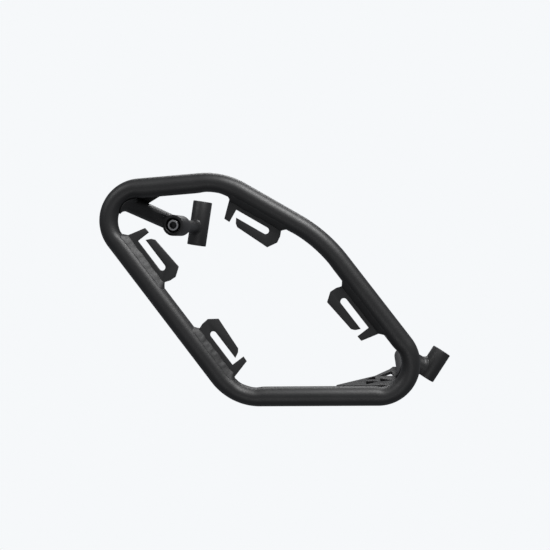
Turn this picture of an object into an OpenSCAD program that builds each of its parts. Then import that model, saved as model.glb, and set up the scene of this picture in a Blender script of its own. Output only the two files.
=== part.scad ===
// Pannier frame: a closed hoop of bent tube with four strap tabs and two clamp brackets.
// Millimetres. X runs forward, Y inward to the motorcycle, Z up.
// The origin is the centre of the upper clamp sleeve's bore.

/* [Hoop] */
// Outside diameter of the hoop tube
tube_od = 25.4; // [20:0.1:32]
// Wall thickness of the hoop tube
tube_wall = 2; // [1.5:0.1:3]
// Bottom run, corner point to corner point
base_len = 267; // [200:1:330]
// Distance the rear run leans back over its height
rear_run = 195.8; // [150:0.1:240]
// Height of the rear upper corner point
rear_rise = 265.6; // [210:0.1:320]
// Length of the top run
top_run = 184.1; // [150:0.1:225]
// Climb of the top run towards the front
top_rise = 12.2; // [8:0.1:18]
// Distance the front run leans back over its height
front_run = 152.2; // [120:0.1:185]
// Height of the nose corner point
front_rise = 202.5; // [165:0.1:245]
// Bend radius at the rear lower corner, to the tube's centreline
rear_low_bend = 65.7; // [50:0.1:80]
// Bend radius at the front lower corner
front_low_bend = 41.5; // [34:0.1:50]
// Bend radius at the nose
nose_bend = 190; // [150:1:230]
// Bend radius at the front of the top run
top_bend = 90; // [70:1:110]
// Bend radius at the rear upper corner
rear_top_bend = 42; // [34:0.1:50]
// Drain hole in the underside of the bottom run
drain_d = 5; // [3:0.5:8]

/* [Strap tabs] */
// Plate thickness of the tabs
tab_thick = 4; // [3:0.5:6]
// Length of a tab along its tube
tab_len = 84; // [66:1:100]
// Height of the slot's lower edge over the tube's centreline
slot_height = 22.5; // [19:0.1:27]
// Width of the strap slot
slot_width = 8.8; // [7:0.1:11]
// Distance from the tab's closed end to the slot
slot_back = 16; // [12:0.5:20]
// Height of the arm outside the slot, at its root
arm_height = 13.1; // [10:0.1:16]
// Length the arm reaches from the closed end
arm_reach = 61.3; // [52:0.1:63]
// Width of the mouth between arm and finger
mouth = 5.1; // [4:0.1:6.5]
// Width of the finger's tip
finger_tip = 7.4; // [6:0.1:9]
// Leg of the weld fillet round a tab
tab_weld = 5; // [3.5:0.1:6]
// Position of the rear upper tab, part of the rear run from its top
rear_upper_at = 0.359; // [0.29:0.001:0.43]
// Position of the rear lower tab, part of the rear run from its bottom
rear_lower_at = 0.179; // [0.14:0.001:0.22]
// Position of the nose tab, part of the nose run from its top
nose_tab_at = 0.398; // [0.33:0.001:0.48]
// Position of the front tab, part of the front run from its top
front_tab_at = 0.405; // [0.33:0.001:0.49]

/* [Clamp sleeves] */
// Outside diameter of both sleeves
sleeve_od = 28.6; // [24:0.1:34]
// Bore of both sleeves
bore_d = 10.5; // [8.5:0.1:13]
// Length of the upper sleeve
upper_sleeve_len = 67; // [55:1:80]
// Lean of the upper sleeve from the vertical
upper_lean = 9.6; // [7:0.1:12]
// Length of the lower sleeve
lower_sleeve_len = 47.4; // [39:0.1:57]
// Lean of the lower sleeve from the vertical
lower_lean = 33; // [27:0.5:40]
// Distance of both sleeves' axes from the hoop's plane
sleeve_depth = 180; // [150:1:215]

/* [Upper bracket] */
// Outside diameter of the upper arm
upper_arm_od = 22.2; // [18:0.1:25]
// Wall of both arms
arm_wall = 2; // [1.5:0.1:3]
// Angle into the rear upper bend where the arm is welded on
upper_root_angle = 42; // [34:0.5:50]
// Boss face ahead of the arm's root
boss_ahead = 62.8; // [52:0.1:75]
// Boss face inward of the hoop's plane
boss_inward = 55; // [46:1:66]
// Boss axis below the arm's root
boss_drop = 34.5; // [28:0.1:41]
// Outside diameter of the boss barrel
boss_od = 28.6; // [26:0.1:34]
// Length of the boss barrel
boss_len = 33; // [28:0.5:40]
// Turn of the boss axis towards the front
boss_turn = 4.5; // [3:0.1:6]
// Depth of the counterbore in the boss
counterbore_depth = 13; // [11:0.5:16]
// Thread size of the boss bolt
bolt_d = 10; // [8:0.5:12]
// Clearance round the bolt and its washer
bolt_gap = 0.25; // [0.15:0.05:0.4]
// Thickness of the washer
washer_thick = 2; // [1.5:0.1:3]
// Outside diameter of the stub behind the boss
stub_od = 18; // [16:0.5:21]
// Sleeve centre ahead of the boss axis
sleeve_ahead = 5.5; // [3:0.1:7]
// Sleeve centre above the boss axis
sleeve_up = 5; // [3:0.5:8]

/* [Lower bracket] */
// Outside diameter of the lower arm
lower_arm_od = 24; // [20:0.1:27]
// Angle into the front lower bend where the arm is welded on
lower_root_angle = 64.5; // [54:0.5:76]
// Elbow corner ahead of the arm's root
elbow_ahead = 13.6; // [10:0.1:18]
// Elbow corner above the arm's root
elbow_up = 5; // [3:0.1:7]
// Bend radius of the elbow
elbow_bend = 31; // [26:0.5:34]
// Distance from the elbow corner to the sleeve's axis
elbow_to_sleeve = 48.8; // [43:0.1:58]
// Distance of the stub axis from the sleeve's lower end
stub_up = 12.7; // [10:0.1:15]

/* [Gussets] */
// Plate thickness of the gussets
gusset_thick = 4; // [3:0.5:5]
// Depth the gussets are seated into the arms' sides
gusset_seat = 0.6; // [0.4:0.1:1]
// Reach of the upper gusset along its arm
upper_gusset_reach = 66; // [54:0.5:78]
// Width of the upper gusset along the top run
upper_gusset_width = 66; // [55:0.5:76]
// Reach of the lower gusset along its arm
lower_gusset_reach = 128.7; // [106:0.5:150]
// Width of the lower gusset along the bottom run
lower_gusset_width = 90; // [74:0.5:106]
// Corner radius of the gusset windows
window_round = 1.5; // [1:0.1:2]
// Leg of the weld beads
weld_leg = 3; // [2:0.1:4]

/* [Hidden] */
$fn = 40;
hoop_fn = 28;
hair = 0.01;
hair_lap = 0.02;
tube_r = tube_od / 2;
powder = [0.13, 0.13, 0.135];
weld_tone = [0.17, 0.17, 0.175];
steel = [0.35, 0.35, 0.36];

// Corner points of the hoop in its own plane, counter-clockwise from the rear lower one
rear_low = [0, 0];
front_low = [base_len, 0];
nose = [base_len - front_run, front_rise];
rear_top = [-rear_run, rear_rise];
top_front = rear_top + [top_run, top_rise];
corners = [rear_low, front_low, nose, top_front, rear_top];
bends = [rear_low_bend, front_low_bend, nose_bend, top_bend, rear_top_bend];
count = len(corners);

// Plane geometry of the hoop
function corner(i) = corners[(i + count) % count];
function along(i) = unit(corner(i + 1) - corner(i));
function left(v) = [-v[1], v[0]];
function heading(i) = atan2(along(i)[1], along(i)[0]);
function turn(i) = (heading(i) - heading(i - 1 + count) + 720) % 360;
function bend_of(i) = bends[(i + count) % count];
function setback(i) = bend_of(i) * tan(turn(i) / 2);
function bend_start(i) = corner(i) - along(i - 1 + count) * setback(i);
function bend_end(i) = corner(i) + along(i) * setback(i);
function bend_centre(i) = bend_start(i) + left(along(i - 1 + count)) * bend_of(i);
function bend_point(i, angle) = bend_centre(i) + bends[i]
    * [sin(heading(i - 1 + count) + angle), -cos(heading(i - 1 + count) + angle)];

// Space geometry
function unit(v) = v / norm(v);
function lift(p) = [p[0], 0, p[1]];
function square_to(v, d) = unit(v - (v * d) * d);

// Upper bracket points
upper_root = lift(bend_point(4, upper_root_angle));
boss_dir = [sin(boss_turn), cos(boss_turn), 0];
boss_face = upper_root + [boss_ahead, boss_inward, -boss_drop];
boss_mid = boss_face + boss_dir * boss_len / 2;
boss_back = boss_face + boss_dir * boss_len;
stub_end = boss_face + boss_dir * (sleeve_depth - boss_inward) / cos(boss_turn);
upper_dir = [sin(upper_lean), 0, cos(upper_lean)];
upper_centre = stub_end + [sleeve_ahead, 0, sleeve_up];
upper_arm_dir = unit(boss_mid - upper_root);
counterbore_d = 2 * bolt_d + 2 * bolt_gap;
head_d = 1.6 * bolt_d;
hex_across = 0.8 * bolt_d;
bolt_grip = boss_len - counterbore_depth;
bolt_in_stub = 2 * bolt_d;

// Lower bracket points
lower_root = lift(bend_point(1, lower_root_angle));
lower_dir = [sin(lower_lean), 0, cos(lower_lean)];
lower_stub_dir = [cos(lower_lean), 0, -sin(lower_lean)];
elbow = lower_root + [elbow_ahead, sleeve_depth, elbow_up];
lower_meet = elbow + lower_stub_dir * elbow_to_sleeve;
lower_centre = lower_meet + lower_dir * (lower_sleeve_len / 2 - stub_up);
lower_arm_dir = unit(elbow - lower_root);

// Gusset frames: first along the hoop, second along the arm
upper_g1 = lift(-along(3));
upper_g2 = square_to(upper_arm_dir, upper_g1);
upper_g3 = cross(upper_g1, upper_g2);
upper_g_low = upper_arm_od / 2 - gusset_seat;
lower_g1 = [1, 0, 0];
lower_g2 = square_to(lower_arm_dir, lower_g1);
lower_g3 = cross(lower_g1, lower_g2);
lower_g_low = -lower_arm_od / 2 + gusset_seat - gusset_thick;

// Height of the nearest hoop centreline over an arm's root, across a gusset plate
top_line = lift(bend_end(3)) - upper_root;
top_line_2 = top_line * upper_g2;
top_line_3 = top_line * upper_g3;
base_line = -lower_root;
base_line_2 = base_line * lower_g2;
base_line_3 = base_line * lower_g3;

// A child drawn on three axes and an origin
module on_frame(o, a, b, c) {
    multmatrix([
        [a[0], b[0], c[0], o[0]],
        [a[1], b[1], c[1], o[1]],
        [a[2], b[2], c[2], o[2]],
        [0, 0, 0, 1]
    ]) children();
}

// A round bar from one point to another
module rod(from, to, r) {
    d = to - from;
    translate(from)
        rotate([0, acos(d[2] / norm(d)), atan2(d[1], d[0])])
            cylinder(r = r, h = norm(d));
}

// A round bar through three points with a bend at the middle one, bored where a bore is given
module bent_rod(from, mid, to, bend, r, bore = 0) {
    d1 = unit(mid - from);
    d2 = unit(to - mid);
    bent = acos(d1 * d2);
    axis = unit(cross(d1, d2));
    inward = cross(axis, d1);
    back = bend * tan(bent / 2);
    on_frame(mid - d1 * back + inward * bend, -inward, d1, axis) {
        translate([bend, hair_lap, 0])
            rotate([90, 0, 0])
                linear_extrude(norm(mid - from) - back + hair_lap)
                    tube_section(r, bore);
        rotate_extrude(angle = bent, $fn = 2 * hoop_fn)
            translate([bend, 0])
                tube_section(r - hair, bore + hair);
        rotate([0, 0, bent])
            translate([bend, -hair_lap, 0])
                rotate([-90, 0, 0])
                    linear_extrude(norm(to - mid) - back + hair_lap)
                        tube_section(r, bore);
    }
}

// The hoop's path swept with a round section, bored where a bore is given. Each run
// reaches a hair into its bends, whose section is a hair slimmer.
module hoop_sweep(r, bore = 0) {
    rotate([90, 0, 0])
        for (i = [0 : count - 1]) {
            run = bend_start(i + 1) - bend_end(i);
            translate(bend_end(i))
                rotate([0, 0, heading(i)])
                    rotate([0, 90, 0])
                        translate([0, 0, -hair_lap])
                            linear_extrude(norm(run) + 2 * hair_lap)
                                tube_section(r, bore);
            translate(bend_centre(i))
                rotate([0, 0, heading(i - 1 + count) - 90])
                    rotate_extrude(angle = turn(i), $fn = 2 * hoop_fn)
                        translate([bend_of(i), 0])
                            tube_section(r - hair, bore + hair);
        }
}

module tube_section(r, bore) {
    difference() {
        circle(r = r, $fn = hoop_fn);
        if (bore > 2 * hair) circle(r = bore, $fn = hoop_fn);
    }
}

module hoop_tube() {
    vent_r = drain_d / 2;
    color(powder)
        difference() {
            hoop_sweep(tube_r, tube_r - tube_wall);
            translate([base_len / 2, 0, -tube_od])
                cylinder(r = vent_r, h = tube_od);
            rod(upper_root, upper_root + upper_arm_dir * tube_od, vent_r);
            rod(lower_root, lower_root + lower_arm_dir * tube_od, vent_r);
        }
}

// Strap tabs, drawn along their tube (first axis) and away from it (second axis)
slot_top = slot_height + slot_width;
tab_top = slot_top + arm_height;
finger_in = arm_reach + mouth;
tab_foot = tube_r * 0.7;
toe = tab_thick / 2 + tab_weld;
toe_height = sqrt(tube_r * tube_r - toe * toe);
tab_weld_top = tube_r + tab_weld;
toe_slope = tab_weld / (tab_weld_top - toe_height);
toe_sink = 2;

module tab_outline() {
    polygon([
        [tab_len * 0.024, tab_foot],
        [tab_len * 0.048, tube_r + 2.3],
        [tab_len * 0.008, slot_height + 1.5],
        [0, slot_top + 1.7],
        [tab_len * 0.095, tab_top],
        [arm_reach - 7.3, tab_top - arm_height * 0.24],
        [arm_reach - 3.3, slot_top + arm_height * 0.51],
        [arm_reach, slot_top],
        [arm_reach, slot_height],
        [finger_in, slot_height],
        [finger_in, tab_top - arm_height * 0.3],
        [finger_in + finger_tip, tab_top - arm_height * 0.33],
        [tab_len - 3.2, tube_r + 1],
        [tab_len, tab_foot]
    ]);
}

module slot_outline() {
    end_r = slot_width / 2;
    corner_r = slot_width / 3;
    translate([slot_back + end_r, slot_height + end_r])
        circle(r = end_r);
    translate([slot_back + end_r, slot_height])
        square([finger_in - corner_r - slot_back - end_r, slot_width]);
    translate([slot_back + end_r, slot_height + corner_r])
        square([finger_in - slot_back - end_r, slot_width - corner_r]);
    translate([finger_in - corner_r, slot_height + corner_r])
        circle(r = corner_r);
}

module tab_plate() {
    translate([0, 0, -tab_thick / 2])
        linear_extrude(tab_thick)
            difference() {
                tab_outline();
                slot_outline();
            }
}

module tab_fillet() {
    low = toe_height - toe_sink;
    low_half = toe + toe_sink * toe_slope;
    side = tab_weld + toe_sink * toe_slope;
    intersection() {
        rotate([90, 0, 90])
            translate([0, 0, -tab_len])
                linear_extrude(3 * tab_len)
                    polygon([
                        [low, -low_half],
                        [low, low_half],
                        [tab_weld_top, tab_thick / 2],
                        [tab_weld_top, -tab_thick / 2]
                    ]);
        translate([0, 0, -tube_od])
            linear_extrude(2 * tube_od)
                polygon([
                    [tab_len * 0.04 - side, low],
                    [tab_len + side, low],
                    [tab_len - 3.6, tab_weld_top],
                    [tab_len * 0.048, tab_weld_top]
                ]);
    }
}

// A tab's place on run i: distance of its middle from the run's start, mouth ahead or behind
module on_run(i, at, mouth_ahead) {
    side = mouth_ahead ? 1 : -1;
    first = side * along(i);
    start = corner(i) + along(i) * at - first * tab_len / 2;
    up = left(along(i));
    on_frame(lift(start), lift(first), lift(up), cross(lift(first), lift(up)))
        children();
}

function run_len(i) = norm(corner(i + 1) - corner(i));

module place_rear_upper() {
    on_run(4, run_len(4) * rear_upper_at, false) children();
}

module place_rear_lower() {
    on_run(4, run_len(4) * (1 - rear_lower_at), true) children();
}

module place_nose() {
    on_run(2, run_len(2) * (1 - nose_tab_at), true) children();
}

module place_front() {
    on_run(1, run_len(1) * (1 - front_tab_at), false) children();
}

module seated_tab() {
    color(powder)
        difference() {
            children();
            hoop_sweep(tube_r);
        }
}

// The first child is the fillet, the second the tab it runs round
module seated_weld() {
    color(weld_tone)
        difference() {
            children(0);
            hoop_sweep(tube_r);
            children(1);
        }
}

module strap_tab_rear_upper() {
    seated_tab() place_rear_upper() tab_plate();
}

module strap_tab_rear_lower() {
    seated_tab() place_rear_lower() tab_plate();
}

module strap_tab_nose() {
    seated_tab() place_nose() tab_plate();
}

module strap_tab_front() {
    seated_tab() place_front() tab_plate();
}

module weld_tab_rear_upper() {
    seated_weld() {
        place_rear_upper() tab_fillet();
        place_rear_upper() tab_plate();
    }
}

module weld_tab_rear_lower() {
    seated_weld() {
        place_rear_lower() tab_fillet();
        place_rear_lower() tab_plate();
    }
}

module weld_tab_nose() {
    seated_weld() {
        place_nose() tab_fillet();
        place_nose() tab_plate();
    }
}

module weld_tab_front() {
    seated_weld() {
        place_front() tab_fillet();
        place_front() tab_plate();
    }
}

// Outer forms of the bracket pieces, also cut out of their neighbours
module upper_arm_form(grow) {
    rod(upper_root, boss_mid, upper_arm_od / 2 + grow);
}

module boss_form(grow) {
    rod(boss_face, boss_back, boss_od / 2 + grow);
}

module stub_form(grow) {
    rod(boss_back, stub_end, stub_od / 2 + grow);
}

module upper_sleeve_form(grow) {
    half = upper_dir * upper_sleeve_len / 2;
    rod(upper_centre - half, upper_centre + half, sleeve_od / 2 + grow);
}

module lower_arm_form(grow, bore = 0) {
    bent_rod(lower_root, elbow, lower_meet, elbow_bend, lower_arm_od / 2 + grow, bore);
}

module lower_sleeve_form(grow) {
    half = lower_dir * lower_sleeve_len / 2;
    rod(lower_centre - half, lower_centre + half, sleeve_od / 2 + grow);
}

module upper_arm() {
    color(powder)
        difference() {
            upper_arm_form(0);
            upper_arm_form(-arm_wall);
            hoop_sweep(tube_r);
            boss_form(0);
        }
}

module upper_boss() {
    color(powder)
        difference() {
            boss_form(0);
            rod(boss_face - boss_dir, boss_face + boss_dir * counterbore_depth, counterbore_d / 2);
            rod(boss_face, boss_back + boss_dir, bolt_d / 2 + bolt_gap);
        }
}

module boss_washer() {
    seat = boss_face + boss_dir * counterbore_depth;
    color(steel)
        difference() {
            rod(seat - boss_dir * washer_thick, seat, bolt_d);
            rod(seat - boss_dir * (washer_thick + 1), seat + boss_dir, bolt_d / 2 + bolt_gap);
        }
}

module boss_bolt() {
    under_head = boss_face + boss_dir * (counterbore_depth - washer_thick);
    head_top = under_head - boss_dir * bolt_d;
    tip = under_head + boss_dir * (washer_thick + bolt_grip + bolt_in_stub);
    side = square_to([1, 0, 0], boss_dir);
    color(steel)
        difference() {
            union() {
                rod(head_top, under_head, head_d / 2);
                rod(head_top + boss_dir * bolt_d * 0.8, tip, bolt_d / 2);
            }
            on_frame(head_top - boss_dir, side, cross(boss_dir, side), boss_dir)
                cylinder(d = hex_across / cos(30), h = bolt_d * 0.55 + 1, $fn = 6);
        }
}

module upper_stub() {
    color(powder)
        difference() {
            stub_form(0);
            rod(boss_back - boss_dir, boss_back + boss_dir * bolt_in_stub, bolt_d / 2);
            upper_sleeve_form(0);
        }
}

module upper_sleeve() {
    reach = upper_dir * (upper_sleeve_len / 2 + 1);
    color(powder)
        difference() {
            upper_sleeve_form(0);
            rod(upper_centre - reach, upper_centre + reach, bore_d / 2);
        }
}

module lower_arm() {
    color(powder)
        difference() {
            lower_arm_form(0, lower_arm_od / 2 - arm_wall);
            hoop_sweep(tube_r);
            lower_sleeve_form(0);
        }
}

module lower_sleeve() {
    reach = lower_dir * (lower_sleeve_len / 2 + 1);
    color(powder)
        difference() {
            lower_sleeve_form(0);
            rod(lower_centre - reach, lower_centre + reach, bore_d / 2);
        }
}

// A three-sided window with rounded corners
module window(a, b, c) {
    hull()
        for (p = [a, b, c])
            translate(p)
                circle(r = window_round, $fn = 24);
}

module on_upper_gusset() {
    on_frame(upper_root + upper_g3 * upper_g_low, upper_g1, upper_g2, upper_g3)
        children();
}

module on_lower_gusset() {
    on_frame(lower_root + lower_g3 * lower_g_low, lower_g1, lower_g2, lower_g3)
        children();
}

// Upper gusset, drawn from the arm's root: along the top run and along the arm
module upper_gusset_plate() {
    w = upper_gusset_width;
    h = upper_gusset_reach;
    linear_extrude(gusset_thick)
        difference() {
            polygon([
                [-w * 0.18, top_line_2],
                [w, top_line_2],
                [w, h * 0.12],
                [w * 0.72, h * 0.33],
                [w * 0.47, h * 0.53],
                [w * 0.42, h * 0.88],
                [w * 0.36, h * 0.97],
                [w * 0.24, h],
                [w * 0.15, h * 0.95],
                [-w * 0.03, h * 0.53]
            ]);
            window([w * 0.15, h * 0.56], [w * 0.3, h * 0.52], [w * 0.29, h * 0.8]);
            window([w * 0.08, h * 0.42], [w * 0.32, h * 0.4], [w * 0.1, h * 0.25]);
            window([w * 0.4, h * 0.35], [w * 0.36, h * 0.27], [w * 0.56, h * 0.27]);
        }
}

module upper_gusset() {
    color(powder)
        difference() {
            on_upper_gusset() upper_gusset_plate();
            hoop_sweep(tube_r);
            upper_arm_form(0);
        }
}

// Lower gusset, drawn from the arm's root: along the bottom run and along the arm
module lower_gusset_plate() {
    w = lower_gusset_width;
    h = lower_gusset_reach;
    linear_extrude(gusset_thick)
        difference() {
            polygon([
                [-w, tube_r * 0.5],
                [w * 0.03, tube_r * 0.5],
                [w * 0.11, h],
                [-w * 0.06, h],
                [-w * 0.125, h * 0.87],
                [-w * 0.4, h * 0.51],
                [-w, h * 0.07]
            ]);
            window([-w * 0.53, h * 0.34], [-w * 0.42, h * 0.34], [-w * 0.42, h * 0.45]);
            window([-w * 0.55, h * 0.23], [-w * 0.4, h * 0.23], [-w * 0.55, h * 0.12]);
            window([-w * 0.33, h * 0.24], [-w * 0.33, h * 0.36], [-w * 0.19, h * 0.28]);
            window([-w * 0.31, h * 0.5], [-w * 0.13, h * 0.52], [-w * 0.13, h * 0.72]);
            window([-w * 0.08, h * 0.36], [-w * 0.07, h * 0.52], [-w * 0.06, h * 0.44]);
        }
}

module lower_gusset() {
    color(powder)
        difference() {
            on_lower_gusset() lower_gusset_plate();
            hoop_sweep(tube_r);
            lower_arm_form(0);
        }
}

// A fillet along a plate's edge on one face: from and to along the hoop, edge and face
// in the plate's frame, side -1 under the face and 1 over it
module edge_fillet(from, to, edge, face, side) {
    low = 2;
    translate([from, edge, face])
        rotate([90, 0, 90])
            linear_extrude(to - from)
                polygon([
                    [-low, side * (weld_leg + low)],
                    [-low, 0],
                    [weld_leg, 0]
                ]);
}

module weld_upper_arm() {
    color(weld_tone)
        difference() {
            intersection() {
                hoop_sweep(tube_r + weld_leg);
                rod(upper_root + upper_arm_dir * weld_leg, boss_mid, upper_arm_od / 2 + weld_leg);
            }
            hoop_sweep(tube_r);
            upper_arm_form(0);
            on_upper_gusset() upper_gusset_plate();
        }
}

module weld_boss() {
    color(weld_tone)
        difference() {
            intersection() {
                boss_form(weld_leg);
                upper_arm_form(weld_leg);
            }
            boss_form(0);
            upper_arm_form(0);
        }
}

module weld_upper_sleeve() {
    color(weld_tone)
        difference() {
            intersection() {
                stub_form(weld_leg);
                upper_sleeve_form(weld_leg);
            }
            stub_form(0);
            upper_sleeve_form(0);
        }
}

module weld_upper_gusset() {
    face_over = upper_g_low - top_line_3;
    edge = top_line_2 + sqrt(tube_r * tube_r - face_over * face_over);
    color(weld_tone)
        difference() {
            on_upper_gusset()
                edge_fillet(upper_gusset_width * 0.42, upper_gusset_width * 0.98, edge, 0, -1);
            hoop_sweep(tube_r);
            upper_arm_form(0);
        }
}

module weld_lower_arm() {
    color(weld_tone)
        difference() {
            intersection() {
                hoop_sweep(tube_r + weld_leg);
                rod(lower_root + lower_arm_dir * weld_leg, elbow, lower_arm_od / 2 + weld_leg);
            }
            hoop_sweep(tube_r);
            lower_arm_form(0);
            on_lower_gusset() lower_gusset_plate();
        }
}

module weld_lower_sleeve() {
    color(weld_tone)
        difference() {
            intersection() {
                rod(lower_meet - lower_stub_dir * sleeve_od, lower_meet, lower_arm_od / 2 + weld_leg);
                lower_sleeve_form(weld_leg);
            }
            lower_arm_form(0);
            lower_sleeve_form(0);
        }
}

module weld_lower_gusset() {
    face_over = lower_g_low + gusset_thick - base_line_3;
    edge = base_line_2 + sqrt(tube_r * tube_r - face_over * face_over);
    color(weld_tone)
        difference() {
            on_lower_gusset()
                edge_fillet(-lower_gusset_width * 0.98, -lower_gusset_width * 0.42, edge, gusset_thick, 1);
            hoop_sweep(tube_r);
            lower_arm_form(0);
        }
}

translate(-upper_centre) {
    hoop_tube();
    strap_tab_rear_upper();
    strap_tab_rear_lower();
    strap_tab_nose();
    strap_tab_front();
    weld_tab_rear_upper();
    weld_tab_rear_lower();
    weld_tab_nose();
    weld_tab_front();
    upper_arm();
    upper_boss();
    boss_washer();
    boss_bolt();
    upper_stub();
    upper_sleeve();
    upper_gusset();
    weld_upper_arm();
    weld_boss();
    weld_upper_sleeve();
    weld_upper_gusset();
    lower_arm();
    lower_sleeve();
    lower_gusset();
    weld_lower_arm();
    weld_lower_sleeve();
    weld_lower_gusset();
}
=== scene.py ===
"""Looks of the pannier frame: textured powder coat, flattened bends, dressed welds and the boss bolt.

The axes are the part's own: X forward, Y inward to the motorcycle, Z up. Shapes are worked out in
millimetres and scaled to metres as their meshes are made. Lights and camera are in metres.
"""

import math

import bmesh
import bpy
import numpy as np
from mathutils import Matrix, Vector


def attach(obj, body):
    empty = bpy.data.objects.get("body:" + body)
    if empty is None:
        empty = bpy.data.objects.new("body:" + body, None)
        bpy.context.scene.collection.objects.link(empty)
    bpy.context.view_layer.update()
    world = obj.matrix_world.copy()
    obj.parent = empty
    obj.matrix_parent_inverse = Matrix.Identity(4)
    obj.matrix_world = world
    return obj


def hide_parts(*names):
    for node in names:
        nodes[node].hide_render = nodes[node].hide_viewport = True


MM = 0.001

# The rear lower corner, the origin of the hoop's own plane, in the part's frame
HOOP_ORIGIN = np.array([68.434, -180.0, -228.551])
# Outside radii: the hoop's tube, both arms, the stub, and the sleeves and the boss
TUBE_R = 12.7
UPPER_ARM_R = 11.1
LOWER_ARM_R = 12.0
STUB_R = 9.0
SLEEVE_R = 14.3
# Radius of the sleeves' and the boss's bores
BORE_R = 5.25
DRAIN_R = 2.5
CORNERS = {
    "rear_low": (0.0, 0.0),
    "front_low": (267.0, 0.0),
    "nose": (114.8, 202.5),
    "top_front": (-11.7, 277.8),
    "rear_top": (-195.8, 265.6),
}
BEND_R = {"rear_low": 65.7, "front_low": 41.5, "nose": 190.0, "top_front": 90.0, "rear_top": 42.0}
# How much of its width each bend loses, and how far in from its start and its end that sets in
BEND_LOSS = {
    "rear_low": (0.12, 16.0, -6.0),
    "front_low": (0.14, -6.0, -6.0),
    "nose": (0.03, -6.0, -6.0),
    "top_front": (0.08, 12.0, -6.0),
    "rear_top": (0.14, -6.0, -6.0),
}
# Length of tube over which the flattening grows
EASE = 16.0
# A flattened bend widens by this share of what it loses
WIDENING = 0.25
# Spacing of the centreline's points on runs and in bends, and a little over half the wider one
RUN_STEP = 3
ARC_STEP = 1.5
HALF_STEP = 1.6
# Spacing of the points along the gussets' beads and the tabs' fillets
WELD_STEP = 1.0
# Edges sharper than this stay sharp in the shading
SHARP = math.radians(38)

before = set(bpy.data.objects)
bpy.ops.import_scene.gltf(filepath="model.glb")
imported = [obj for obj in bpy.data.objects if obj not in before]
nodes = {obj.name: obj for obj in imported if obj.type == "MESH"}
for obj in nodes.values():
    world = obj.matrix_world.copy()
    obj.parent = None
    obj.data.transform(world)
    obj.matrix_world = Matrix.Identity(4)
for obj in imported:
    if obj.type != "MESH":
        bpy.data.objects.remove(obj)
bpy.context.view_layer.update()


# Vectors


def unit(v):
    return np.asarray(v, float) / np.linalg.norm(v)


def square_pair(axis):
    """Two directions square to axis and to each other."""
    side = unit(np.cross(axis, [0, 0, 1] if abs(axis[2]) < 0.8 else [1, 0, 0]))
    return side, np.cross(axis, side)


# The hoop's centreline


class Hoop:
    """The closed hoop's centreline, from the end of the rear lower bend, with the bends' flattening."""

    def __init__(self):
        names = list(CORNERS)
        pts = [np.array(CORNERS[n]) for n in names]
        count = len(pts)
        self.s, self.p, self.t = [], [], []
        self.corner_s = {}
        total = 0.0
        along = [unit(pts[(i + 1) % count] - pts[i]) for i in range(count)]
        head = [math.atan2(a[1], a[0]) for a in along]
        turn = [(head[i] - head[i - 1]) % (2 * math.pi) for i in range(count)]
        back = [BEND_R[names[i]] * math.tan(turn[i] / 2) for i in range(count)]
        self.run_start = {}
        for i in range(count):
            j = (i + 1) % count
            start = pts[i] + along[i] * back[i]
            run = np.linalg.norm(pts[j] - pts[i]) - back[i] - back[j]
            self.run_start[names[i]] = total - back[i]
            for k in range(int(run // RUN_STEP) + 1):
                self.add(total + RUN_STEP * k, start + along[i] * RUN_STEP * k, along[i])
            total += run
            arc = BEND_R[names[j]] * turn[j]
            left = np.array([-along[i][1], along[i][0]])
            centre = start + along[i] * run + left * BEND_R[names[j]]
            steps = max(6, int(arc / ARC_STEP))
            loss, lead, tail = BEND_LOSS[names[j]]
            for k in range(steps):
                a = head[i] + turn[j] * k / steps
                p = centre + BEND_R[names[j]] * np.array([math.sin(a), -math.cos(a)])
                self.add(total + arc * k / steps, p, np.array([math.cos(a), math.sin(a)]))
            self.corner_s[names[j]] = (total, total + arc, loss, lead, tail)
            total += arc
        self.length = total
        self.s, self.p, self.t = np.array(self.s), np.array(self.p), np.array(self.t)
        self.loss = np.zeros(len(self.s))
        for s0, s1, loss, lead, tail in self.corner_s.values():
            for shift in (-total, 0.0, total):
                up = np.clip((self.s - (s0 + lead) - shift) / EASE, 0, 1)
                down = np.clip(((s1 - tail) - self.s + shift) / EASE, 0, 1)
                w = up * up * (3 - 2 * up) * down * down * (3 - 2 * down)
                self.loss = np.maximum(self.loss, loss * w)

    def add(self, s, p, t):
        self.s.append(s)
        self.p.append(p)
        self.t.append(t)

    def at(self, s):
        """Point, direction along and direction inward at s, in the part's frame, in millimetres."""
        s = s % self.length
        i = min(int(np.searchsorted(self.s, s, side="right")) - 1, len(self.s) - 1)
        j = (i + 1) % len(self.s)
        span = (self.s[j] - self.s[i]) % self.length
        w = (s - self.s[i]) / span
        p = self.p[i] * (1 - w) + self.p[j] * w
        t = unit(self.t[i] * (1 - w) + self.t[j] * w)
        return lift(p), np.array([t[0], 0, t[1]]), np.array([-t[1], 0, t[0]])

    def distance(self, q):
        """Distance of a point in the part's frame from the centreline."""
        q = np.asarray(q) - HOOP_ORIGIN
        d = self.p - np.array([q[0], q[2]])
        along = np.abs((d * self.t).sum(1))
        across = np.abs(d[:, 0] * -self.t[:, 1] + d[:, 1] * self.t[:, 0])
        near = np.hypot(across, np.maximum(0, along - HALF_STEP))
        return math.hypot(near.min(), q[1])


def lift(p):
    """A point of the hoop's plane, in the part's frame."""
    return HOOP_ORIGIN + np.array([p[0], 0.0, p[1]])


hoop = Hoop()


# Meshes


def face_outward(mesh):
    work = bmesh.new()
    work.from_mesh(mesh)
    bmesh.ops.recalc_face_normals(work, faces=work.faces)
    work.to_mesh(mesh)
    work.free()
    mesh.update()


def mesh_object(name, verts, faces, material, smooth=True):
    mesh = bpy.data.meshes.new(name)
    mesh.from_pydata([tuple(np.asarray(v) * MM) for v in verts], [], faces)
    face_outward(mesh)
    for p in mesh.polygons:
        p.use_smooth = smooth
    obj = bpy.data.objects.new(name, mesh)
    bpy.context.scene.collection.objects.link(obj)
    obj.data.materials.append(material)
    return obj


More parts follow.
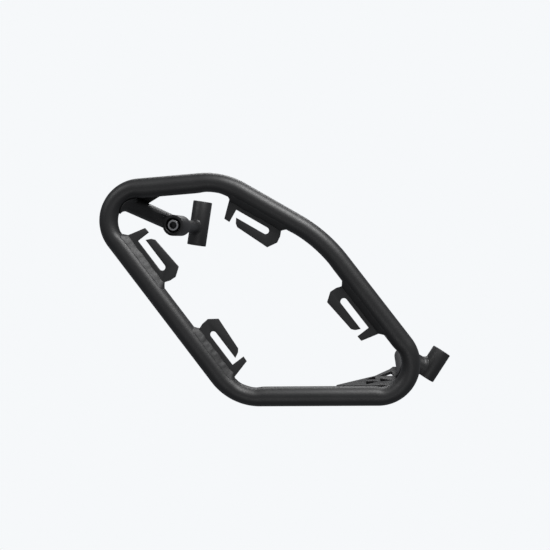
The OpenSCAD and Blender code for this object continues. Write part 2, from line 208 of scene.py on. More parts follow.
def ring_faces(rings, around, closed):
    """Faces between rings of points; closed joins the last ring to the first."""
    faces = []
    for i in range(rings if closed else rings - 1):
        j = (i + 1) % rings
        for k in range(around):
            m = (k + 1) % around
            faces.append((i * around + k, i * around + m, j * around + m, j * around + k))
    return faces


def loft_faces(rings, around):
    """Faces of a form lofted through rings of points, with both ends closed."""
    last = (rings - 1) * around
    return [tuple(range(around)), tuple(range(last, last + around)), *ring_faces(rings, around, False)]


def round_points(start, axis, rings, around):
    """Points of rings round an axis, each given by its distance along the axis and its radius."""
    e, f = square_pair(axis)
    points = []
    for h, r in rings:
        for k in range(around):
            a = 2 * math.pi * k / around
            points.append(start + axis * h + (math.cos(a) * e + math.sin(a) * f) * r)
    return points


def cut_with(obj, cutter, operation):
    cut = obj.modifiers.new("cut", "BOOLEAN")
    cut.operation = operation
    cut.object = cutter
    cut.solver = "EXACT"


def bake(obj):
    """Replaces obj's mesh with its modifiers' result."""
    dg = bpy.context.evaluated_depsgraph_get()
    made = bpy.data.meshes.new_from_object(obj.evaluated_get(dg))
    name, kind = obj.name, obj.type
    if kind == "MESH":
        obj.modifiers.clear()
        old = obj.data
        obj.data = made
        bpy.data.meshes.remove(old)
        return obj
    out = bpy.data.objects.new(name + "_mesh", made)
    bpy.context.scene.collection.objects.link(out)
    bpy.data.objects.remove(obj)
    out.name = name
    return out


# Materials


def nodes_of(name):
    mat = bpy.data.materials.new(name)
    mat.use_nodes = True
    tree = mat.node_tree
    tree.nodes.clear()
    out = tree.nodes.new("ShaderNodeOutputMaterial")
    shader = tree.nodes.new("ShaderNodeBsdfPrincipled")
    tree.links.new(shader.outputs["BSDF"], out.inputs["Surface"])
    coords = tree.nodes.new("ShaderNodeTexCoord")
    return mat, tree, shader, coords.outputs["Object"]


def noise(tree, coords, scale, detail=2.0, roughness=0.5):
    n = tree.nodes.new("ShaderNodeTexNoise")
    n.inputs["Scale"].default_value = scale
    n.inputs["Detail"].default_value = detail
    n.inputs["Roughness"].default_value = roughness
    tree.links.new(coords, n.inputs["Vector"])
    return n.outputs["Fac"]


def ranged(tree, value, low, high, from_low=0.3, from_high=0.7):
    r = tree.nodes.new("ShaderNodeMapRange")
    r.inputs["From Min"].default_value = from_low
    r.inputs["From Max"].default_value = from_high
    r.inputs["To Min"].default_value = low
    r.inputs["To Max"].default_value = high
    tree.links.new(value, r.inputs["Value"])
    return r.outputs["Result"]


def bump(tree, height, distance, strength, below=None):
    b = tree.nodes.new("ShaderNodeBump")
    b.inputs["Distance"].default_value = distance
    b.inputs["Strength"].default_value = strength
    tree.links.new(height, b.inputs["Height"])
    if below is not None:
        tree.links.new(below, b.inputs["Normal"])
    return b.outputs["Normal"]


def two_tones(tree, fac, dark, light):
    m = tree.nodes.new("ShaderNodeMix")
    m.data_type = "RGBA"
    m.inputs[6].default_value = (*dark, 1)
    m.inputs[7].default_value = (*light, 1)
    tree.links.new(fac, m.inputs[0])
    return m.outputs[2]


def powder_coat(name, dark=0.0078, light=0.0118, rough=(0.4, 0.56), grain=1.0, lumps=1.0):
    """Satin black powder coat: a fine grain over a slow orange-peel wave, with uneven gloss."""
    mat, tree, shader, coords = nodes_of(name)
    slow = noise(tree, coords, 260.0, 2.0)
    grit = noise(tree, coords, 720.0, 3.0, 0.65)
    fine = noise(tree, coords, 1700.0, 3.0, 0.6)
    patch = noise(tree, coords, 22.0, 3.0)
    dark_tone, light_tone = (dark, dark, dark * 1.04), (light, light, light * 1.03)
    tone = two_tones(tree, ranged(tree, patch, 0, 1), dark_tone, light_tone)
    tree.links.new(tone, shader.inputs["Base Color"])
    tree.links.new(ranged(tree, grit, rough[0], rough[1]), shader.inputs["Roughness"])
    normal = bump(tree, slow, 0.00022 * lumps, 0.5)
    normal = bump(tree, grit, 0.00016 * grain, 0.55, normal)
    normal = bump(tree, fine, 0.00006 * grain, 0.7, normal)
    tree.links.new(normal, shader.inputs["Normal"])
    shader.inputs["IOR"].default_value = 1.5
    return mat


def oxide_steel(name, tone, rough):
    """Black oxide on turned steel: fine scratches and a slight sheen."""
    mat, tree, shader, coords = nodes_of(name)
    fine = noise(tree, coords, 2600.0, 4.0, 0.7)
    shader.inputs["Metallic"].default_value = 0.85
    patch = noise(tree, coords, 160.0, 2.0)
    colour = two_tones(tree, ranged(tree, patch, 0, 1), (tone * 0.8,) * 3, (tone * 1.2,) * 3)
    tree.links.new(colour, shader.inputs["Base Color"])
    tree.links.new(ranged(tree, fine, rough * 0.85, rough * 1.2), shader.inputs["Roughness"])
    tree.links.new(bump(tree, fine, 0.00003, 0.6), shader.inputs["Normal"])
    return mat


coat = powder_coat("powder_coat")
# A darker copy of the coat for the tabs and gussets: painted shade on their flat faces, which turn away
# from the light
plate_coat_painted_shade = powder_coat("powder_coat_painted_shade_plates", dark=0.006, light=0.009, rough=(0.5, 0.64))
coat_weld = powder_coat(
    "powder_coat_weld", dark=0.0085, light=0.013, rough=(0.46, 0.6), grain=0.7, lumps=1.8
)
bolt_steel = oxide_steel("bolt_steel", 0.05, 0.34)
# A bright steel for a ring on the bolt's head: a painted highlight on the head's edge
painted_highlight_steel = oxide_steel("painted_bolt_highlight", 0.55, 0.28)
washer_steel = oxide_steel("washer_steel", 0.045, 0.4)

for name, node in nodes.items():
    if name.startswith("weld"):
        finish = coat_weld
    # Tabs and gussets take the darker copy of the coat, which paints shade on them
    elif name.startswith("strap") or name.endswith("gusset"):
        finish = plate_coat_painted_shade
    elif name == "boss_washer":
        finish = washer_steel
    elif name == "boss_bolt":
        finish = bolt_steel
    else:
        finish = coat
    for slot in node.material_slots:
        slot.material = finish


def finish_piece(obj, replaced):
    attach(obj, "root")
    if replaced:
        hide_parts(*replaced)
    return obj


# The hoop


def hoop_skin():
    """The hoop, flattened in its bends, with the drain hole under its bottom run."""
    around = 72
    verts = []
    for p, t, loss in zip(hoop.p, hoop.t, hoop.loss):
        inward = np.array([-t[1], 0, t[0]])
        half = TUBE_R * (1 - loss / 2)
        shift = -TUBE_R * loss / 2
        wide = TUBE_R * (1 + WIDENING * loss)
        for k in range(around):
            a = 2 * math.pi * k / around
            across = np.array([0, wide * math.sin(a), 0])
            verts.append(lift(p) + inward * (shift + half * math.cos(a)) + across)
    obj = mesh_object("hoop_skin", verts, ring_faces(len(hoop.s), around, True), coat)
    middle = HOOP_ORIGIN + np.array([CORNERS["front_low"][0] / 2, 0, 0])
    # From below the tube to part of the way to its centreline
    ends = ((-20.0, DRAIN_R), (-8.5, DRAIN_R))
    sides = 32
    points = round_points(middle, np.array([0.0, 0.0, 1.0]), ends, sides)
    drain = mesh_object("drain_cutter", points, loft_faces(len(ends), sides), coat, False)
    cut_with(obj, drain, "DIFFERENCE")
    bake(obj)
    bpy.data.objects.remove(drain)
    return finish_piece(obj, ["hoop_tube"])


hoop_skin()


# Welds


def bead_nodes():
    """A bead along a curve: a core with overlapping scales along it, each a little different."""
    tree = bpy.data.node_groups.new("weld_bead", "GeometryNodeTree")
    face = tree.interface
    face.new_socket("Geometry", in_out="INPUT", socket_type="NodeSocketGeometry")
    face.new_socket("Radius", in_out="INPUT", socket_type="NodeSocketFloat")
    face.new_socket("Pitch", in_out="INPUT", socket_type="NodeSocketFloat")
    face.new_socket("Seed", in_out="INPUT", socket_type="NodeSocketInt")
    face.new_socket("Finish", in_out="INPUT", socket_type="NodeSocketMaterial")
    face.new_socket("Geometry", in_out="OUTPUT", socket_type="NodeSocketGeometry")
    new, link = tree.nodes.new, tree.links.new
    src, out = new("NodeGroupInput"), new("NodeGroupOutput")
    walk = new("GeometryNodeResampleCurve")
    walk.mode = "LENGTH"
    link(src.outputs["Geometry"], walk.inputs["Curve"])
    link(src.outputs["Pitch"], walk.inputs["Length"])
    core_radius = new("ShaderNodeMath")
    core_radius.operation = "MULTIPLY"
    core_radius.inputs[1].default_value = 0.96
    link(src.outputs["Radius"], core_radius.inputs[0])
    ring = new("GeometryNodeCurvePrimitiveCircle")
    ring.inputs["Resolution"].default_value = 12
    link(core_radius.outputs[0], ring.inputs["Radius"])
    core = new("GeometryNodeCurveToMesh")
    link(walk.outputs["Curve"], core.inputs["Curve"])
    link(ring.outputs["Curve"], core.inputs["Profile Curve"])
    core.inputs["Fill Caps"].default_value = True
    ball = new("GeometryNodeMeshUVSphere")
    ball.inputs["Segments"].default_value = 14
    ball.inputs["Rings"].default_value = 9
    link(src.outputs["Radius"], ball.inputs["Radius"])
    tangent = new("GeometryNodeInputTangent")
    turn = new("FunctionNodeAlignEulerToVector")
    turn.axis = "Z"
    link(tangent.outputs["Tangent"], turn.inputs["Vector"])
    vary = new("FunctionNodeRandomValue")
    vary.data_type = "FLOAT_VECTOR"
    vary.inputs["Min"].default_value = (0.96, 0.96, 0.62)
    vary.inputs["Max"].default_value = (1.04, 1.04, 0.8)
    link(src.outputs["Seed"], vary.inputs["Seed"])
    put = new("GeometryNodeInstanceOnPoints")
    link(walk.outputs["Curve"], put.inputs["Points"])
    link(ball.outputs["Mesh"], put.inputs["Instance"])
    link(turn.outputs["Rotation"], put.inputs["Rotation"])
    link(vary.outputs["Value"], put.inputs["Scale"])
    real = new("GeometryNodeRealizeInstances")
    link(put.outputs["Instances"], real.inputs["Geometry"])
    both = new("GeometryNodeJoinGeometry")
    link(core.outputs["Mesh"], both.inputs["Geometry"])
    link(real.outputs["Geometry"], both.inputs["Geometry"])
    soft = new("GeometryNodeSetShadeSmooth")
    link(both.outputs["Geometry"], soft.inputs["Geometry"])
    paint = new("GeometryNodeSetMaterial")
    link(soft.outputs["Geometry"], paint.inputs["Geometry"])
    link(src.outputs["Finish"], paint.inputs["Material"])
    link(paint.outputs["Geometry"], out.inputs["Geometry"])
    return tree


BEAD = bead_nodes()
BEAD_R = 1.5
# Spacing of a bead's scales, as a share of its radius
BEAD_PITCH = 0.42
# A gusset's bead runs this far outside the tube
BEAD_OUT = 0.6


def bead(name, points, replaced, seed):
    """A rippled bead along points."""
    curve = bpy.data.curves.new(name, "CURVE")
    curve.dimensions = "3D"
    spline = curve.splines.new("POLY")
    spline.points.add(len(points) - 1)
    for q, p in zip(spline.points, points):
        q.co = (*(np.asarray(p) * MM), 1)
    obj = bpy.data.objects.new(name, curve)
    bpy.context.scene.collection.objects.link(obj)
    mod = obj.modifiers.new("bead", "NODES")
    mod.node_group = BEAD
    radius = BEAD_R * MM
    values = {"Radius": radius, "Pitch": radius * BEAD_PITCH, "Seed": seed, "Finish": coat_weld}
    for item in BEAD.interface.items_tree:
        if item.in_out == "INPUT" and item.name in values:
            mod[item.identifier] = values[item.name]
    return finish_piece(bake(obj), replaced)


# Points tried along each line, and how often the step in which it meets the form is halved
LINE_POINTS = 141
HALVINGS = 24


def crossing(start, axis, radius, depth_in, from_far, reach, steps):
    """Where lines along a round bar's side first meet a form; depth_in(point) is above 0 in it."""
    e, f = square_pair(axis)
    out = []
    ts = np.linspace(0, reach, LINE_POINTS)
    if from_far:
        ts = ts[::-1]
    for k in range(steps):
        a = 2 * math.pi * k / steps
        line = np.asarray(start) + radius * (math.cos(a) * e + math.sin(a) * f)
        last = ts[0]
        for t in ts:
            if depth_in(line + axis * t) > 0:
                low, high = last, t
                for _ in range(HALVINGS):
                    m = (low + high) / 2
                    if depth_in(line + axis * m) > 0:
                        high = m
                    else:
                        low = m
                out.append(line + axis * (low + high) / 2)
                break
            last = t
    return np.array(out)


def from_line(q, p, d):
    """Distance of q from the line through p along d."""
    v = np.asarray(q) - p
    return float(np.linalg.norm(v - (v @ d) * d))


# Lines of the brackets, from the same sizes as the part's source


def bend_point(corner, angle):
    """The centreline's point at an angle from the start of a corner's bend."""
    names = list(CORNERS)
    i = names.index(corner)
    a, b, c = (np.array(CORNERS[names[k % len(names)]]) for k in (i - 1, i, i + 1))
    d0, d1 = unit(b - a), unit(c - b)
    turn = (math.atan2(d1[1], d1[0]) - math.atan2(d0[1], d0[0])) % (2 * math.pi)
    back = BEND_R[corner] * math.tan(turn / 2)
    left = np.array([-d0[1], d0[0]])
    centre = b - d0 * back + left * BEND_R[corner]
    h = math.atan2(d0[1], d0[0]) + math.radians(angle)
    return lift(centre + BEND_R[corner] * np.array([math.sin(h), -math.cos(h)]))


BOSS_TURN = math.radians(4.5)
UPPER_LEAN = math.radians(9.6)
LOWER_LEAN = math.radians(33.0)
UPPER_ROOT = bend_point("rear_top", 42.0)
BOSS_AXIS = np.array([math.sin(BOSS_TURN), math.cos(BOSS_TURN), 0.0])
BOSS_FACE = UPPER_ROOT + np.array([62.8, 55.0, -34.5])
BOSS_LEN = 33.0
UPPER_AXIS = unit(BOSS_FACE + BOSS_AXIS * BOSS_LEN / 2 - UPPER_ROOT)
UPPER_LEN = float(np.linalg.norm(BOSS_FACE + BOSS_AXIS * BOSS_LEN / 2 - UPPER_ROOT))
UPPER_SLEEVE = np.array([math.sin(UPPER_LEAN), 0.0, math.cos(UPPER_LEAN)])
UPPER_SLEEVE_MID = np.zeros(3)
UPPER_SLEEVE_LEN = 67.0
LOWER_ROOT = bend_point("front_low", 64.5)
ELBOW = LOWER_ROOT + np.array([13.6, 180.0, 5.0])
LOWER_SLEEVE = np.array([math.sin(LOWER_LEAN), 0.0, math.cos(LOWER_LEAN)])
LOWER_STUB = np.array([math.cos(LOWER_LEAN), 0.0, -math.sin(LOWER_LEAN)])
LOWER_MEET = ELBOW + LOWER_STUB * 48.8
LOWER_SLEEVE_LEN = 47.4
# How far the lower sleeve reaches below the arm's line
LOWER_SLEEVE_LOW = 12.7
LOWER_AXIS = unit(ELBOW - LOWER_ROOT)


def onto_hoop(q, depth=0.0):
    """The nearest point of the hoop tube's skin, or of a skin that lies depth under it."""
    k = int(np.argmin(((hoop.p - (q - HOOP_ORIGIN)[[0, 2]]) ** 2).sum(1)))
    p = lift(hoop.p[k])
    t = np.array([hoop.t[k][0], 0, hoop.t[k][1]])
    out = (q - p) - ((q - p) @ t) * t
    return q - out + unit(out) * (TUBE_R - depth)


def in_hoop(q):
    """How deep a point lies in the hoop's tube."""
    return TUBE_R - hoop.distance(q)


def onto_bar(centre, axis, radius):
    """The same as onto_hoop, for a round bar."""
    def place(q, depth=0.0):
        v = q - centre
        out = v - (v @ axis) * axis
        return q - out + unit(out) * (radius - depth)
    return place


def in_bar(centre, axis, radius):
    """The same as in_hoop, for a round bar."""
    return lambda q: radius - from_line(q, centre, axis)


def waves(count, rng, low, high):
    """A smooth closed run of small values, about one at most."""
    t = np.arange(count) * 2 * math.pi / count
    total = np.zeros(count)
    for n in range(low, high):
        total += rng.normal(0, 1) * np.sin(n * t + rng.uniform(0, 2 * math.pi))
    return total / np.abs(total).max()


def flare(name, start, axis, radius, onto, depth_in, from_far, reach, replaced,
          up, out, seed, slide=None):
    """A weld dressed into a flare, from a bar to the form that it meets.

    It reaches up along the bar and out over the form; slide moves its points at the end.
    """
    steps = 96
    e, f = square_pair(axis)
    hits = crossing(start, axis, radius, depth_in, from_far, reach, steps)
    side = 1 if from_far else -1
    # How far its edges wander, and how full its hollow face is and by how much that varies
    wander_up, wander_out, full, uneven = 0.5, 0.4, 0.42, 0.12
    # How deep its hidden side lies in the bar, and in the form at its edge and under the bar
    bar_deep, edge_deep, form_deep = 1.6, 1.4, 2.0
    rng = np.random.default_rng(seed)
    wide, lump = waves(steps, rng, 2, 6), waves(steps, rng, 9, 26)
    verts = []
    for k, c in enumerate(hits):
        a = 2 * math.pi * k / steps
        away = math.cos(a) * e + math.sin(a) * f
        high = c + axis * side * (up + wander_up * wide[k])
        low = onto(c + away * (out + wander_out * wide[k]))
        middle = (high + low) / 2
        bend = c + (middle - c) * (full + uneven * lump[k])
        ring = [high - away * 0.1]
        for t in (0.17, 0.33, 0.5, 0.67, 0.83):
            ring.append(high * (1 - t) ** 2 + bend * 2 * t * (1 - t) + low * t * t)
        under = onto(c - away * bar_deep, form_deep)
        ring += [low, onto(low, edge_deep), under, high - away * bar_deep]
        if slide is not None:
            ring = [slide(q) for q in ring]
        verts += ring
    obj = mesh_object(name, verts, ring_faces(steps, len(ring), True), coat)
    return finish_piece(obj, replaced)


# The boss stands this far proud of its solid, and so do its bolt and washer
PROUD = 9.5
SHOWN_FACE = BOSS_FACE - BOSS_AXIS * PROUD
# The weld on the boss stays at least this far behind the boss's face
WELD_BEHIND = 1.2


def behind_face(q):
    """Slides a point along the boss till it lies behind the boss's face."""
    a = float((q - SHOWN_FACE) @ BOSS_AXIS)
    return q + BOSS_AXIS * max(0.0, WELD_BEHIND - a)


flare("flare_upper_arm", UPPER_ROOT, UPPER_AXIS, UPPER_ARM_R, onto_hoop, in_hoop,
      from_far=True, reach=60, replaced=["weld_upper_arm"], up=7.0, out=6.0, seed=11)
flare("flare_lower_arm", LOWER_ROOT, LOWER_AXIS, LOWER_ARM_R, onto_hoop, in_hoop,
      from_far=True, reach=60, replaced=["weld_lower_arm"], up=6.0, out=5.0, seed=12)
bar = (BOSS_FACE, BOSS_AXIS, SLEEVE_R)
flare("flare_boss", UPPER_ROOT, UPPER_AXIS, UPPER_ARM_R, onto_bar(*bar), in_bar(*bar),
      from_far=False, reach=95, replaced=["weld_boss"], up=3.5, out=3.0, seed=13, slide=behind_face)
bar = (UPPER_SLEEVE_MID, UPPER_SLEEVE, SLEEVE_R)
flare("flare_upper_sleeve", BOSS_FACE, BOSS_AXIS, STUB_R, onto_bar(*bar), in_bar(*bar),
      from_far=False, reach=140, replaced=["weld_upper_sleeve"], up=5.0, out=3.5, seed=14)
bar = (LOWER_MEET, LOWER_SLEEVE, SLEEVE_R)
before_sleeve = 40
flare("flare_lower_sleeve", LOWER_MEET - LOWER_STUB * before_sleeve, LOWER_STUB, LOWER_ARM_R,
      onto_bar(*bar), in_bar(*bar), from_far=False, reach=before_sleeve,
      replaced=["weld_lower_sleeve"], up=5.0, out=4.0, seed=15)


def gusset_line(root, along, arm_axis, low, hoop_point, span):
    """Where a gusset's face meets the hoop tube, from and to along the hoop."""
    g2 = unit(arm_axis - (arm_axis @ along) * along)
    g3 = np.cross(along, g2)
    centre = hoop_point - root
    over = low - centre @ g3
    edge = centre @ g2 + math.sqrt(TUBE_R ** 2 - over ** 2)
    stations = np.arange(span[0], span[1], WELD_STEP)
    return [root + along * w + g2 * (edge + BEAD_OUT) + g3 * low for w in stations]


TOP_START = hoop.corner_s["top_front"][1]
TOP_ALONG = -hoop.at(TOP_START + 1.0)[1]
# Height of each gusset's face over its arm's root
UPPER_FACE = 10.5
LOWER_FACE = -15.4
line = gusset_line(UPPER_ROOT, TOP_ALONG, UPPER_AXIS, UPPER_FACE, hoop.at(TOP_START)[0], (28.0, 64.0))
bead("bead_upper_gusset", line, ["weld_upper_gusset"], 16)
FORWARD = np.array([1.0, 0, 0])
line = gusset_line(LOWER_ROOT, FORWARD, LOWER_AXIS, LOWER_FACE, HOOP_ORIGIN, (-88.0, -38.0))
bead("bead_lower_gusset", line, ["weld_lower_gusset"], 17)


# Plates with rounded edges


# The prism that trims the upper gusset: how far outside the centreline it runs, and where it
# starts and ends across the hoop's plane
TRIM_OUT = 9.0
TRIM_DEPTHS = (-40.0, 240.0)


def softened(name, width, keep=None):
    """A copy of a solid with rounded edges; keep trims it to a closed outline in the hoop's plane."""
    mesh = nodes[name].data.copy()
    mesh.transform(nodes[name].matrix_world)
    obj = bpy.data.objects.new(name + "_soft", mesh)
    bpy.context.scene.collection.objects.link(obj)
    work = bmesh.new()
    work.from_mesh(mesh)
    bmesh.ops.remove_doubles(work, verts=work.verts, dist=0.00002)
    bmesh.ops.dissolve_limit(work, angle_limit=math.radians(0.5), verts=work.verts, edges=work.edges)
    work.to_mesh(mesh)
    work.free()
    cutter = None
    if keep is not None:
        points = [tuple((q + np.array([0, y, 0])) * MM) for y in TRIM_DEPTHS for q in keep]
        cutter = bpy.data.objects.new("outline_cutter", bpy.data.meshes.new("outline_cutter"))
        cutter.data.from_pydata(points, [], loft_faces(len(TRIM_DEPTHS), len(keep)))
        bpy.context.scene.collection.objects.link(cutter)
        face_outward(cutter.data)
        cut_with(obj, cutter, "INTERSECT")
    edge = obj.modifiers.new("edge", "BEVEL")
    edge.width = width * MM
    edge.segments = 2
    edge.limit_method = "ANGLE"
    edge.angle_limit = math.radians(40)
    bake(obj)
    if cutter is not None:
        bpy.data.objects.remove(cutter)
    for face in obj.data.polygons:
        face.use_smooth = True
    obj.data.set_sharp_from_angle(angle=SHARP)
    # The plates take the darker copy of the coat, which paints shade on them
    obj.data.materials.clear()
    obj.data.materials.append(plate_coat_painted_shade)
    return finish_piece(obj, [name])


trim_line = []
for k in range(0, len(hoop.p), 4):
    inward = np.array([-hoop.t[k][1], 0, hoop.t[k][0]])
    trim_line.append(lift(hoop.p[k]) - inward * TRIM_OUT)
for name in nodes:
    if name.startswith("strap"):
        softened(name, 0.55)
softened("lower_gusset", 0.5)
softened("upper_gusset", 0.5, trim_line)


def window_shade_sheet():
    """A thin dark sheet that closes the two windows next to the hoop: painted shade standing for the
    shade in them.
    """
    g2 = unit(UPPER_AXIS - (UPPER_AXIS @ TOP_ALONG) * TOP_ALONG)
    g3 = np.cross(TOP_ALONG, g2)
    # Along the hoop and out from it, from the arm's root
    outline = [(4, 16), (40, 16), (40, 20), (30, 27.5), (4, 29)]
    # Heights of its two sides over the gusset's face
    heights = (0.6, 3.4)
    verts = []
    for z in heights:
        verts += [UPPER_ROOT + TOP_ALONG * x + g2 * y + g3 * (UPPER_FACE + z) for x, y in outline]
    faces = loft_faces(len(heights), len(outline))
    # It takes the plates' darker coat, so the sheet reads as the shade in the windows
    obj = mesh_object("upper_gusset_window_shade", verts, faces, plate_coat_painted_shade, False)
    return finish_piece(obj, [])


window_shade_sheet()


# Turned pieces


def turned(name, start, axis, profile, material, replaced):
    """A closed profile of radii and distances along the axis, turned round it."""
    around = 64
    e, f = square_pair(axis)
    verts = []
    for k in range(around):
        a = 2 * math.pi * k / around
        out_dir = math.cos(a) * e + math.sin(a) * f
        verts += [start + out_dir * r + axis * h for r, h in profile]
    obj = mesh_object(name, verts, ring_faces(around, len(profile), True), material)
    obj.data.set_sharp_from_angle(angle=SHARP)
    return finish_piece(obj, replaced)


def sleeve(name, centre, axis, length):
    """A turned sleeve with broken edges."""
    half = length / 2
    # Width of the broken edges, and how far in from the corners the outer ones' middles lie
    edge, corner = 1.0, 0.3
    profile = [
        (BORE_R, -half + edge), (BORE_R + edge, -half),
        (SLEEVE_R - edge, -half), (SLEEVE_R - corner, -half + corner),
        (SLEEVE_R, -half + edge), (SLEEVE_R, half - edge),
        (SLEEVE_R - corner, half - corner), (SLEEVE_R - edge, half),
        (BORE_R + edge, half), (BORE_R, half - edge),
    ]
    return turned(name + "_turned", centre, axis, profile, coat, [name])


sleeve("upper_sleeve", UPPER_SLEEVE_MID, UPPER_SLEEVE, UPPER_SLEEVE_LEN)
lower_sleeve_mid = LOWER_MEET + LOWER_SLEEVE * (LOWER_SLEEVE_LEN / 2 - LOWER_SLEEVE_LOW)
sleeve("lower_sleeve", lower_sleeve_mid, LOWER_SLEEVE, LOWER_SLEEVE_LEN)


def bolt():
    """A socket cap screw: round head with a broken edge, hexagon socket and plain shank."""
    around = 48
    e, f = square_pair(BOSS_AXIS)
    # Radius, depth behind the boss's face, and whether the ring is the socket's hexagon
    rings = [
        (5.0, 48.0, False), (5.0, 11.0, False), (8.0, 11.0, False), (8.0, 2.2, False), (7.0, 1.0, False),
        (4.3, 1.0, True), (4.0, 1.3, True), (4.0, 6.5, True),
    ]
    verts = []
    for r, h, hexagon in rings:
        for k in range(around):
            a = 2 * math.pi * k / around
            reach = r
            if hexagon:
                reach = r / math.cos((a + math.pi / 6) % (math.pi / 3) - math.pi / 6)
            verts.append(SHOWN_FACE + (math.cos(a) * e + math.sin(a) * f) * reach + BOSS_AXIS * h)
    faces = loft_faces(len(rings), around)
    obj = mesh_object("boss_bolt_shown", verts, faces, bolt_steel)
    obj.data.set_sharp_from_angle(angle=math.radians(30))
    return finish_piece(obj, ["boss_bolt"])


def upper_arm():
    """The arm, ended in the boss's wall and cut back where it would stand before the boss's face."""
    around = 64
    # From inside the hoop's tube to the boss's axis
    ends = ((4.0, UPPER_ARM_R), (UPPER_LEN, UPPER_ARM_R))
    points = round_points(UPPER_ROOT, UPPER_AXIS, ends, around)
    obj = mesh_object("upper_arm_shown", points, loft_faces(len(ends), around), coat)
    # The cutter is a bar in the boss and a cone that widens before its face. The arm is left this
    # deep in the boss's wall, and the cone starts this far outside it
    in_wall, clear = 1.3, 0.1
    bar_r = SLEEVE_R - in_wall
    rings = ((60.0, bar_r), (0.0, bar_r), (0.0, SLEEVE_R + clear), (-40.0, 41.0))
    points = round_points(SHOWN_FACE, BOSS_AXIS, rings, around)
    cutter = mesh_object("face_cutter", points, loft_faces(len(rings), around), coat)
    cut_with(obj, cutter, "DIFFERENCE")
    bake(obj)
    bpy.data.objects.remove(cutter)
    obj.data.set_sharp_from_angle(angle=SHARP)
    return finish_piece(obj, ["upper_arm"])


upper_arm()
COUNTERBORE_R = 10.25
COUNTERBORE_DEPTH = 13.0
boss_profile = [
    (COUNTERBORE_R, 0.7), (10.9, 0.0), (13.4, 0.0), (14.05, 0.28), (SLEEVE_R, 0.9), (SLEEVE_R, 42.0),
    (13.8, 42.5), (BORE_R, 42.5), (BORE_R, COUNTERBORE_DEPTH), (COUNTERBORE_R, COUNTERBORE_DEPTH),
]
turned("upper_boss_turned", SHOWN_FACE, BOSS_AXIS, boss_profile, coat, ["upper_boss"])
washer_profile = [
    (5.3, 11.0), (9.7, 11.0), (10.0, 11.3), (10.0, COUNTERBORE_DEPTH), (5.3, COUNTERBORE_DEPTH),
]
turned("boss_washer_shown", SHOWN_FACE, BOSS_AXIS, washer_profile, washer_steel,
       ["boss_washer"])
bolt()
# A bright ring just proud of the head's top face, at its edge: a painted highlight
highlight_ring_profile = [(4.95, 1.0), (5.1, 0.6), (6.9, 0.6), (7.3, 1.1)]
turned("bolt_highlight_ring", SHOWN_FACE, BOSS_AXIS, highlight_ring_profile, painted_highlight_steel, [])


# Fillets round the strap tabs


def run_length(a, b):
    """Length between two corners."""
    return float(np.linalg.norm(np.array(CORNERS[b]) - np.array(CORNERS[a])))


# For each tab: the corner at its run's start, how far its middle lies from it, and which way it opens.
# The shares of the runs are the part's own
TABS = {
    "rear_upper": ("rear_top", run_length("rear_top", "rear_low") * 0.359, -1),
    "rear_lower": ("rear_top", run_length("rear_top", "rear_low") * (1 - 0.179), 1),
    "nose": ("nose", run_length("nose", "top_front") * (1 - 0.398), 1),
    "front": ("front_low", run_length("front_low", "nose") * (1 - 0.405), -1),
}


# Half the thickness of a tab
HALF_TAB = 2.0


def tab_weld(name, start, middle, side, seed):
    """The broad fillet round a tab's foot, a little lumpy where it was laid by hand."""
    base = hoop.run_start[start] + middle
    # The foot's ends, the fillet's height over the centreline, and its width at sides and ends
    low, high, top, reach, end_reach = -37.0, 36.0, 17.4, 7.0, 4.6
    # How far its edges wander, and by how many stations the upper one's wandering is shifted
    wander, shift = 0.5, 40
    end_steps = 14
    turns = [math.pi * k / end_steps for k in range(end_steps)]
    stations = [(w, 0.0, -1.0) for w in np.arange(low, high, WELD_STEP)]
    stations += [(high, math.sin(a), -math.cos(a)) for a in turns]
    stations += [(w, 0.0, 1.0) for w in np.arange(high, low, -WELD_STEP)]
    stations += [(low, -math.sin(a), math.cos(a)) for a in turns]
    rng = np.random.default_rng(seed)
    count = len(stations)
    wide, lump, ripple = waves(count, rng, 3, 12), waves(count, rng, 7, 24), waves(count, rng, 24, 48)
    verts = []
    for k, (w0, dw, dy) in enumerate(stations):
        width = reach * abs(dy) + end_reach * abs(dw) + wander * wide[k]
        peak = top + wander * wide[(k + shift) % count]
        foot_y = dy * (HALF_TAB + width)
        foot = math.sqrt(TUBE_R ** 2 - foot_y ** 2) - 0.2
        # Its face is full at the sides and hollow at the ends, with lumps and a fine ripple
        rise = 0.55 * abs(dy) - 0.7 * abs(dw) + 0.26 * lump[k] + 0.05 * ripple[k]
        ring = []
        for t in (0.0, 0.12, 0.26, 0.4, 0.55, 0.7, 0.85, 1.0):
            # It starts just inside the tab's side
            r = 1.95 + 0.05 * min(1.0, 20 * t) + t * width
            h = (1 - t) * peak + t * foot + math.sin(math.pi * t) * rise
            if 0 < t < 1:
                h = max(h, math.sqrt(TUBE_R ** 2 - (dy * r) ** 2) + 0.05)
            ring.append((w0 + dw * r, dy * r, h))
        # Its last two points are hidden, one in the tube's wall and one under the tab
        ring += [(w0 + dw * (1 + width), dy * (1 + width), foot - 2.0), (w0 + dw * 0.8, dy * 0.8, 10.0)]
        for w, y, h in ring:
            p, _, inward = hoop.at(base + side * w)
            verts.append(p + inward * h + np.array([0, y, 0]))
    faces = ring_faces(count, len(ring), True)
    obj = mesh_object("fillet_tab_" + name, verts, faces, coat_weld)
    return finish_piece(obj, ["weld_tab_" + name])


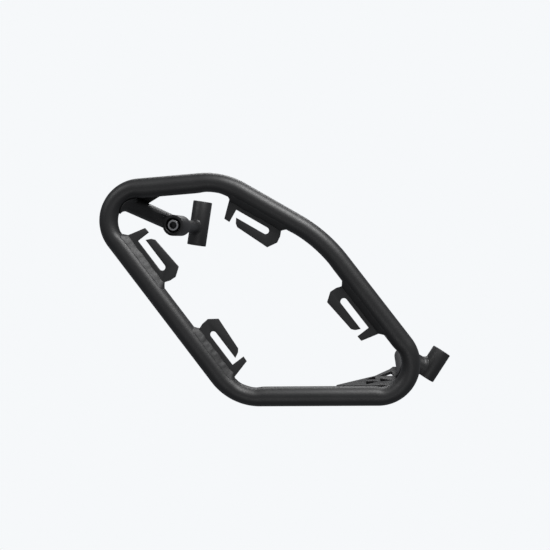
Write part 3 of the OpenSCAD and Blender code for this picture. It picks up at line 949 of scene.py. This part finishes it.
for k, (name, (start, middle, side)) in enumerate(TABS.items()):
    tab_weld(name, start, middle, side, 20 + k)


# The stage: no floor, an even pale backdrop to the camera and soft light round the part

world = bpy.context.scene.world or bpy.data.worlds.new("world")
bpy.context.scene.world = world
world.use_nodes = True
tree = world.node_tree
tree.nodes.clear()
out = tree.nodes.new("ShaderNodeOutputWorld")
mix = tree.nodes.new("ShaderNodeMixShader")
seen = tree.nodes.new("ShaderNodeBackground")
seen.inputs["Color"].default_value = (0.922, 0.939, 0.956, 1)
lit = tree.nodes.new("ShaderNodeBackground")
lit.inputs["Color"].default_value = (0.9, 0.93, 1.0, 1)
lit.inputs["Strength"].default_value = 0.22
path = tree.nodes.new("ShaderNodeLightPath")
tree.links.new(path.outputs["Is Camera Ray"], mix.inputs["Fac"])
tree.links.new(lit.outputs["Background"], mix.inputs[1])
tree.links.new(seen.outputs["Background"], mix.inputs[2])
tree.links.new(mix.outputs["Shader"], out.inputs["Surface"])


def area(name, place, target, size, power):
    light = bpy.data.lights.new(name, "AREA")
    light.shape = "RECTANGLE"
    light.size, light.size_y = size
    light.energy = power
    obj = bpy.data.objects.new(name, light)
    bpy.context.scene.collection.objects.link(obj)
    obj.location = place
    obj.rotation_euler = (Vector(target) - Vector(place)).to_track_quat("-Z", "Y").to_euler()
    obj.visible_camera = False


MIDDLE = (0.13, -0.12, -0.09)
area("key", (0.75, -0.75, 1.15), MIDDLE, (0.8, 0.5), 30)
area("left", (-1.0, -0.9, 0.95), MIDDLE, (0.6, 0.6), 6)
area("low", (0.1, -1.5, -0.75), MIDDLE, (0.9, 0.5), 2.6)
area("rim", (0.2, 1.0, 1.1), MIDDLE, (1.2, 0.6), 12)

camera = bpy.data.objects.new("camera", bpy.data.cameras.new("camera"))
bpy.context.scene.collection.objects.link(camera)
camera.data.lens = 50.0
camera.data.sensor_width = 36.0
camera.location = (0.17476, -1.156, -0.02797)
camera.rotation_euler = [math.radians(a) for a in (87.4297, 0.9367, 2.9974)]
bpy.context.scene.camera = camera
bpy.context.scene.view_settings.view_transform = "Standard"
